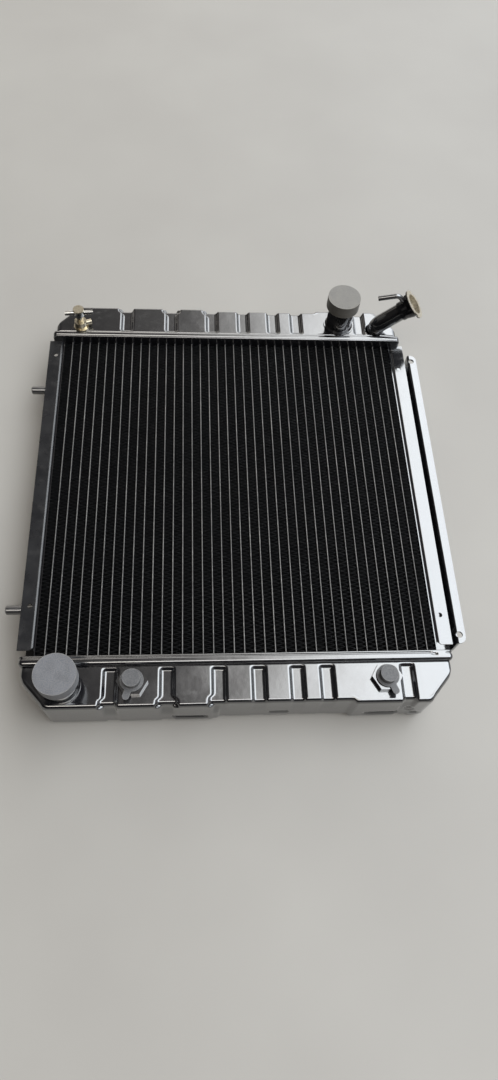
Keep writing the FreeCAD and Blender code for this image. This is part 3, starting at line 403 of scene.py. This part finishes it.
def mouth_finish(centre, axis, bore):
    """Bare metal inside the mouth and on its face, black paint outside."""
    f = Finish("mouth_metal_and_paint", Coat_Weight=0.0)
    offset = f.nodes.new("ShaderNodeVectorMath")
    offset.operation = "SUBTRACT"
    f.link(f.place, offset.inputs[0])
    offset.inputs[1].default_value = centre
    up = f.nodes.new("ShaderNodeVectorMath")
    up.operation = "DOT_PRODUCT"
    f.link(offset.outputs[0], up.inputs[0])
    up.inputs[1].default_value = axis
    length = f.nodes.new("ShaderNodeVectorMath")
    length.operation = "LENGTH"
    f.link(offset.outputs[0], length.inputs[0])
    height = up.outputs["Value"]
    squared = f.math(
        "SUBTRACT",
        f.math("MULTIPLY", length.outputs["Value"], length.outputs["Value"]),
        f.math("MULTIPLY", height, height),
    )
    radius = f.math("SQRT", f.math("MAXIMUM", squared, 0.0), 0.0)
    ragged = f.ramp(f.noise(2.5, 3.0), 0.3, 0.7, -0.0005, 0.0005)
    limit = f.ramp(height, -15 * MM, -6 * MM, (bore - 1.9) * MM, (bore + 0.35) * MM)
    within = f.math("SUBTRACT", limit, f.math("ADD", radius, f.math("MULTIPLY", ragged, 0.4)))
    inside = f.ramp(within, 0.0, 0.3 * MM)
    on_face = f.ramp(height, -0.8 * MM, -0.5 * MM)
    bare = f.math("MAXIMUM", inside, on_face)
    stain = f.ramp(f.noise(4.0, 5.0, 0.65), 0.35, 0.7)
    metal = f.mix(stain, (0.74, 0.69, 0.58), (0.42, 0.37, 0.29))
    f.drive("Base Color", f.mix(bare, (0.007, 0.007, 0.008), metal))
    f.drive("Metallic", f.ramp(bare, 0.0, 1.0, 0.0, 0.85))
    f.drive("Roughness", f.ramp(bare, 0.0, 1.0, 0.16, 0.36))
    f.bump(f.noise(1.2, 4.0), 0.03)
    return f.material


# ---- pieces --------------------------------------------------------------------------


def smoothstep(value):
    """Ease from 0 to 1 as the value goes from 0 to 1, held outside."""
    value = min(1.0, max(0.0, value))
    return value * value * (3 - 2 * value)


def spread(low, high, count):
    """Evenly spaced values from low to high."""
    return [low + (high - low) * i / (count - 1) for i in range(count)]


def tank_depth(x):
    """How far out the tank's outer wall stands at one place along it."""
    beyond = abs(x) - (TANK_HALF - CUT_ALONG)
    plain = smoothstep((x - PLAIN_FROM) / 4 + 0.5) * smoothstep((PLAIN_TO - x) / 4 + 0.5)
    depth = TANK_FACE - (TANK_FACE - TANK_PLAIN) * plain
    return depth - CUT_IN * max(0.0, beyond) / CUT_ALONG


def tank_profile(x, shrink, grooved):
    """Points down the engine face, round the bend, down the wall and back underneath."""
    corner = smoothstep((abs(x) - (TANK_HALF - CUT_ALONG) + 6) / 12)
    bend = TANK_BEND + (CORNER_BEND - TANK_BEND) * corner
    sink = GROOVE_DEEP if grooved else 0.0
    depth = (TANK_FACE - GROOVE_DEEP if grooved else tank_depth(x)) - shrink
    if grooved and corner:
        depth = min(depth, tank_depth(x) - shrink)
    high, low = TANK_TOP - sink - shrink, TANK_LOW + sink + shrink
    points = []
    for step in TOP_STEPS:
        points.append((TANK_MOUTH + (depth - bend - TANK_MOUTH) * step, high))
    for i in range(1, BEND_STEPS + 1):
        angle = math.pi / 2 * i / (BEND_STEPS + 1)
        points.append((depth - bend + bend * math.sin(angle), high - bend + bend * math.cos(angle)))
    for z in spread(high - bend, low + bend, WALL_STEPS):
        points.append((depth, z))
    for i in range(1, UNDER_BEND_STEPS + 1):
        angle = math.pi / 2 * i / (UNDER_BEND_STEPS + 1)
        points.append((depth - bend + bend * math.cos(angle), low + bend - bend * math.sin(angle)))
    for y in spread(depth - bend, TANK_MOUTH, UNDER_STEPS):
        points.append((y, low))
    return points


def groove_weight(x, y, flared):
    """1 on a groove's floor and 0 on the panels, at distance y from the mouth."""
    best = 0.0
    for index, place in enumerate(GROOVES):
        edge = tank_depth(place)
        flare = FLARE * smoothstep((y - (edge - 10)) / 5) if flared else 0.0
        left = flare if index in FLARED_LOW else 0.0
        right = flare if index in FLARED_HIGH else 0.0
        away = place - x - left if x < place else x - place - right
        slope = smoothstep((GROOVE_HALF_FLOOR + GROOVE_SLOPE - away) / GROOVE_SLOPE)
        best = max(best, slope * smoothstep((y - 227.5) / 5.0))
    return best


def tank_stations():
    """Places along the tank: close together at groove walls, steps and ends."""
    marks = {-TANK_HALF + TANK_BEND, TANK_HALF - TANK_BEND}
    for place in GROOVES:
        reach = GROOVE_HALF_FLOOR + GROOVE_SLOPE + 5.5
        marks.update(round(place + offset, 3) for offset in spread(-reach, reach, 27))
    marks.update(spread(-TANK_HALF + TANK_BEND, TANK_HALF - TANK_BEND, 150))
    ordered = sorted(marks)
    kept = [ordered[0]]
    for mark in ordered[1:]:
        if mark - kept[-1] > STATION_GAP:
            kept.append(mark)
    return kept


def wall_dent(x, z, dents):
    """Depth of the shallow pressed dents in the outer wall."""
    sink = 0.0
    for left, right, height, half, deep in dents:
        nearest = min(right, max(left, x))
        away = math.hypot(x - nearest, z - height)
        sink = max(sink, deep * smoothstep((half - away) / (0.55 * half)))
    return sink


def boss_ring(x, z):
    """Depth of the pressed ring round the small boss."""
    along, height, radius, half, deep = NEAR_RING
    away = math.hypot(x - along, z - height)
    return deep * smoothstep(1 - abs(away - radius) / half)


def pressed_tank(name, side, holes, finish, *nodes):
    """A pressed pan with its grooves, dents, rounded bends and cut corners."""
    rounds = []
    for i in range(END_STEPS, 0, -1):
        angle = math.pi / 2 * i / END_STEPS
        rounds.append((TANK_BEND * (1 - math.sin(angle)), TANK_BEND * (1 - math.cos(angle))))
    rows = [(-TANK_HALF + inward, shrink) for inward, shrink in rounds]
    rows += [(x, 0.0) for x in tank_stations()]
    rows += [(TANK_HALF - inward, shrink) for inward, shrink in reversed(rounds)]
    rng = random.Random(SEED + side)
    waves = []
    for _ in range(5):
        waves.append((rng.uniform(0.02, 0.07), rng.uniform(0.03, 0.11), rng.uniform(0, 6.28)))
    points = []
    for x, shrink in rows:
        base = tank_profile(x, shrink, False)
        sunk = tank_profile(x, shrink, True)
        for index, ((y, z), (deep_y, deep_z)) in enumerate(zip(base, sunk)):
            flared = index < WALL_FROM
            weight = groove_weight(x, y, flared)
            if not flared:
                weight *= FADE_LEAST + (1 - FADE_LEAST) * smoothstep((z - FADE_FROM) / FADE_OVER)
            new_y, new_z = y + (deep_y - y) * weight, z + (deep_z - z) * weight
            if index < len(TOP_STEPS):
                new_z -= LIP_SINK * (1 - smoothstep((y - TANK_MOUTH) / LIP_WIDE))
                ripple = sum(math.sin(a * x + b * y + c) for a, b, c in waves)
                new_z += RIPPLE * ripple - FACE_SINK
            if side < 0 and WALL_FROM - 2 < index < WALL_FROM + WALL_STEPS:
                new_y -= wall_dent(x, z, NEAR_DENTS)
                new_y -= boss_ring(x, z)
            points.append((x, side * new_y, new_z))
    columns = len(base)
    kept = []
    for face in grid_faces(len(rows), columns):
        cx = sum(points[i][0] for i in face) / 4
        cy = sum(points[i][1] for i in face) / 4
        cz = sum(points[i][2] for i in face) / 4
        inside = cz > FACE_ABOVE and any(math.hypot(cx - x, cy - y) < r for x, y, r in holes)
        if not inside:
            kept.append(face)
    last = (len(rows) - 1) * columns
    kept.append(tuple(range(columns)))
    kept.append(tuple(last + i for i in reversed(range(columns))))
    if side > 0:
        kept = [tuple(reversed(face)) for face in kept]
    piece = new_object(name, points, kept)
    outward(piece)
    thicken = piece.modifiers.new("wall", "SOLIDIFY")
    thicken.thickness = TANK_WALL * MM
    thicken.offset = -1.0
    finish_piece(piece, finish, "radiator", "black_paint", *nodes)


def outward(piece):
    """Point every face away from the piece's inside."""
    work = bmesh.new()
    work.from_mesh(piece.data)
    bmesh.ops.recalc_face_normals(work, faces=work.faces)
    work.to_mesh(piece.data)
    work.free()


def rim_outline(inset):
    """A rounded rectangle round the header, inset from its outside: points as (x, z)."""
    half, high, low = HEADER_HALF - inset, HEADER_HIGH - inset, inset
    radius = max(0.6, HEADER_CORNER - inset)
    points = [(x, high) for x in rim_stations(half - radius)]
    corners = (
        (half - radius, high - radius, 90),
        (half - radius, low + radius, 0),
        (-half + radius, low + radius, -90),
        (-half + radius, high - radius, -180),
    )
    for index, (x, z, start) in enumerate(corners):
        for i in range(1, 8):
            angle = math.radians(start - 90 * i / 8)
            points.append((x + radius * math.cos(angle), z + radius * math.sin(angle)))
        if index == 0:
            points += [(half, z1) for z1 in spread(high - radius, low + radius, 8)]
        elif index == 1:
            points += [(x1, low) for x1 in spread(half - radius, -half + radius, 40)]
        elif index == 2:
            points += [(-half, z1) for z1 in spread(low + radius, high - radius, 8)]
    return points


def rim_stations(reach):
    """Places along the rim's top, closer together at its high end."""
    wide = spread(-1.0, 0.86, 60)
    return [reach * share for share in wide + spread(0.87, 1.0, 22)]


def near_rim_marks(x, y, z):
    """Height of the near header's rim, flattened at its high end and nicked there."""
    if z > HEADER_HIGH - 3 and 216.8 < y < 219.5:
        flat = smoothstep((x - 203.0) / 2.5) * smoothstep((221.0 - x) / 2.0)
        z += (HEADER_HIGH - 0.15 - z) * flat
    if 218.4 < y < 221.0 and z > HEADER_HIGH - 1.5:
        z -= 1.1 * smoothstep((x - 204.2) / 0.8) * smoothstep((210.0 - x) / 0.8)
    return z


def header(name, side, finish, *nodes):
    """A header: plate with slots for the tubes, solder collars, and a rolled rim."""
    points, faces = [], []
    outlines = [rim_outline(inset) for _, inset in RIM_PROFILE]
    for (y, inset), outline in zip(RIM_PROFILE, outlines):
        for x, z in outline:
            if side < 0:
                z = near_rim_marks(x, y, z)
            points.append((x, side * y, z))
    faces += grid_faces(len(RIM_PROFILE), len(outlines[0]), close_columns=True)
    half = (TUBE_THICK / 2) + SLOT_CLEARANCE
    lines_x = [-HEADER_HALF + PLATE_INSET]
    for tube in range(TUBES):
        middle = (tube - (TUBES - 1) / 2) * TUBE_PITCH
        lines_x += [middle - half, middle + half]
    lines_x.append(HEADER_HALF - PLATE_INSET)
    lines_z = [z for row in TUBE_ROWS for z in row]
    lines_z = [PLATE_INSET] + lines_z + [HEADER_HIGH - PLATE_INSET]
    for level in (HEADER_FACE, HEADER_FACE + HEADER_PLATE):
        first = len(points)
        points += [(x, side * level, z) for x in lines_x for z in lines_z]
        for i in range(len(lines_x) - 1):
            for j in range(len(lines_z) - 1):
                if i % 2 == 1 and j % 2 == 1:
                    continue
                a = first + i * len(lines_z) + j
                b = a + len(lines_z)
                faces.append((a, b, b + 1, a + 1))
    for tube in range(TUBES):
        middle = (tube - (TUBES - 1) / 2) * TUBE_PITCH
        for low, high in TUBE_ROWS:
            first = len(points)
            for grow, off in COLLAR:
                for x, z in ((-1, low), (1, low), (1, high), (-1, high)):
                    z += grow if z == high else -grow
                    points.append((middle + x * (half + grow), side * (HEADER_FACE + off), z))
            rings_round = grid_faces(len(COLLAR), 4, close_columns=True)
            faces += [tuple(first + i for i in face) for face in rings_round]
    piece = new_object(name, points, faces)
    outward(piece)
    finish_piece(piece, finish, "radiator", "black_paint", *nodes)


def fine_fins(finish):
    """Folded fin strips at their real spacing, one between each pair of tubes."""
    rng = random.Random(SEED)
    half = (TUBE_PITCH - TUBE_THICK) / 2 - FIN_GAP
    step = FIN_WAVE / 2
    folds = int(2 * FIN_HALF_RUN / step)
    start = -folds * step / 2
    points, faces = [], []
    for strip in range(TUBES + 1):
        across = (strip - TUBES / 2) * TUBE_PITCH
        lean = [rng.gauss(0.0, FIN_LEAN) for _ in range(folds + 1)]
        first = len(points)
        for fold in range(folds + 1):
            side = half if (fold + strip) % 2 else -half
            y = start + fold * step
            low_y = y + 0.4 * lean[fold]
            for aside in (-FIN_THICK, FIN_THICK):
                points.append((across + side, y + lean[fold] + aside / 2, CORE_TOP - FIN_RECESS))
                points.append((across + side, low_y + aside / 2, CORE_LOW + FIN_RECESS))
        for fold in range(folds):
            a = first + 4 * fold
            b = a + 4
            faces += [
                (a, b, b + 1, a + 1),
                (a + 3, b + 3, b + 2, a + 2),
                (a + 2, b + 2, b, a),
                (a + 1, b + 1, b + 3, a + 3),
            ]
        last = first + 4 * folds
        faces += [(first + 1, first + 3, first + 2, first), (last, last + 2, last + 3, last + 1)]
    piece = new_object("fin_strips", points, faces, smooth=False)
    finish_piece(piece, finish, "radiator", "core_paint", "core_fins")


# ---- stage ---------------------------------------------------------------------------


def camera():
    """The photograph's viewing angle."""
    data = bpy.data.cameras.new("view")
    data.sensor_fit = "VERTICAL"
    data.sensor_height = CAMERA_SENSOR
    data.lens = CAMERA_LENS
    data.clip_start = 0.01
    elevation = math.radians(CAMERA_ELEVATION)
    yaw, roll = math.radians(CAMERA_YAW), math.radians(CAMERA_ROLL)
    forward = Vector(
        (
            math.sin(yaw) * math.cos(elevation),
            math.cos(yaw) * math.cos(elevation),
            -math.sin(elevation),
        )
    )
    level = Vector((math.cos(yaw), -math.sin(yaw), 0))
    upright = level.cross(forward)
    right = level * math.cos(roll) + upright * math.sin(roll)
    up = upright * math.cos(roll) - level * math.sin(roll)
    turn = Matrix((right, up, -forward)).transposed()
    eye = bpy.data.objects.new("view", data)
    eye.matrix_world = Matrix.Translation(Vector(CAMERA_PLACE) * MM) @ turn.to_4x4()
    bpy.context.scene.collection.objects.link(eye)
    bpy.context.scene.camera = eye


def floor():
    """Plain pale floor."""
    far = FLOOR_HALF
    points = [(-far, -far, 0), (far, -far, 0), (far, far, 0), (-far, far, 0)]
    piece = new_object("floor", points, [(0, 1, 2, 3)], smooth=False)
    f = Finish("floor_grey", Roughness=0.55)
    f.drive("Base Color", f.mix(f.noise(240.0, 3.0), (0.25, 0.235, 0.215), (0.31, 0.295, 0.27)))
    piece.data.materials.append(f.material)


def world_light():
    """Light by direction: pale to the right and far, dark to the left and close by."""
    world = bpy.data.worlds.new("studio")
    bpy.context.scene.world = world
    world.use_nodes = True
    nodes, links = world.node_tree.nodes, world.node_tree.links
    place = nodes.new("ShaderNodeTexCoord").outputs["Generated"]
    split = nodes.new("ShaderNodeSeparateXYZ")
    links.new(place, split.inputs[0])

    def ease(socket, low, high, start, end):
        node = nodes.new("ShaderNodeMapRange")
        node.interpolation_type = "SMOOTHSTEP"
        limits = {"From Min": low, "From Max": high, "To Min": start, "To Max": end}
        for key, value in limits.items():
            node.inputs[key].default_value = value
        links.new(socket, node.inputs["Value"])
        return node.outputs["Result"]

    def combine(operation, one, other):
        node = nodes.new("ShaderNodeMath")
        node.operation = operation
        links.new(one, node.inputs[0])
        links.new(other, node.inputs[1])
        return node.outputs[0]

    x, y, z = (split.outputs[axis] for axis in "XYZ")
    sideways = ease(x, -0.3, 0.45, 0.04, 1.0)
    raised = ease(z, 0.05, 0.45, 0.12, 1.0)
    close = ease(y, -0.8, -0.2, 0.15, 1.0)
    general = combine("MULTIPLY", combine("MULTIPLY", sideways, raised), close)
    panel = combine(
        "MULTIPLY",
        combine("MULTIPLY", ease(x, -0.03, 0.27, 0.0, PANEL), ease(z, 0.5, 0.72, 0.0, 1.0)),
        ease(y, -0.36, -0.1, 0.0, 1.0),
    )
    strip = combine(
        "MULTIPLY",
        combine("MULTIPLY", ease(y, -0.2, -0.3, 0.0, STRIP), ease(y, -0.62, -0.5, 0.0, 1.0)),
        combine("MULTIPLY", ease(z, 0.55, 0.7, 0.0, 1.0), ease(x, -0.5, -0.2, 0.0, 1.0)),
    )
    low = combine(
        "MULTIPLY",
        combine("MULTIPLY", ease(y, 0.55, 0.75, 0.0, LOW_BAND), ease(z, 0.62, 0.5, 0.0, 1.0)),
        combine("MULTIPLY", ease(z, 0.12, 0.25, 0.0, 1.0), ease(x, -0.45, -0.1, 0.25, 1.0)),
    )
    light = combine("ADD", combine("ADD", general, panel), combine("ADD", strip, low))
    tint = nodes.new("ShaderNodeMix")
    tint.data_type = "RGBA"
    tint.inputs[6].default_value = (1.0, 0.93, 0.84, 1)
    tint.inputs[7].default_value = (0.90, 0.95, 1.0, 1)
    links.new(sideways, tint.inputs["Factor"])
    background = nodes["Background"]
    links.new(tint.outputs[2], background.inputs["Color"])
    links.new(light, background.inputs["Strength"])


def studio():
    """Soft light: pale from the right and from far, darker from the left."""
    world_light()
    bpy.context.scene.view_settings.view_transform = "Standard"


def soften(node, radius):
    """Round a CAD piece's sharp edges a little, as pressing and moulding leave them."""
    bevel = node.modifiers.new("edges", "BEVEL")
    bevel.width = radius * MM
    bevel.segments = 2
    bevel.limit_method = "ANGLE"
    bevel.angle_limit = math.radians(40)
    bevel.harden_normals = False


def main():
    camera()
    floor()
    studio()
    gloss = black_gloss("gloss_black")
    satin = satin_black("satin_black")
    pin_grey = black_gloss("pin_black", rough=(0.3, 0.42))
    by_slot = {
        "black_paint": gloss,
        "core_paint": fin_paint(),
        "tube_metal": tube_metal(),
        "bare_brass": bare_brass("tinned_brass"),
        "plated_steel": plated("plated_steel"),
        "cap_plastic": cap_plastic("cap_grey", *GREY_CAP),
        "union_cap_plastic": cap_plastic("union_cap_grey", *DARK_CAP),
        "seal_rubber": rubber("seal_rubber"),
    }
    by_node = {
        "bottom_side_frame": satin,
        "bottom_locating_pins": pin_grey,
        "oil_union_nuts": gloss,
        "filler_mouth": mouth_finish(MOUTH_CENTRE, MOUTH_AXIS, MOUTH_BORE),
        "inlet_neck_cap": cap_plastic("cap_beige", *BEIGE_CAP),
    }
    slots = {part["node"]: part["material_slot"] for part in frame["record"]["subparts"]}
    for name, node in NODES.items():
        finish = by_node.get(name, by_slot[slots[name]])
        for slot in node.material_slots:
            slot.material = finish
        if name in BEVELS:
            soften(node, BEVELS[name])
    fine_fins(by_slot["core_paint"])
    pressed_tank("outlet_tank_pan", -1, NEAR_HOLES, gloss, "outlet_tank")
    pressed_tank("inlet_tank_pan", 1, FAR_HOLES, gloss, "inlet_tank")
    header("outlet_header_pan", -1, gloss, "outlet_header")
    header("inlet_header_pan", 1, gloss, "inlet_header")


main()
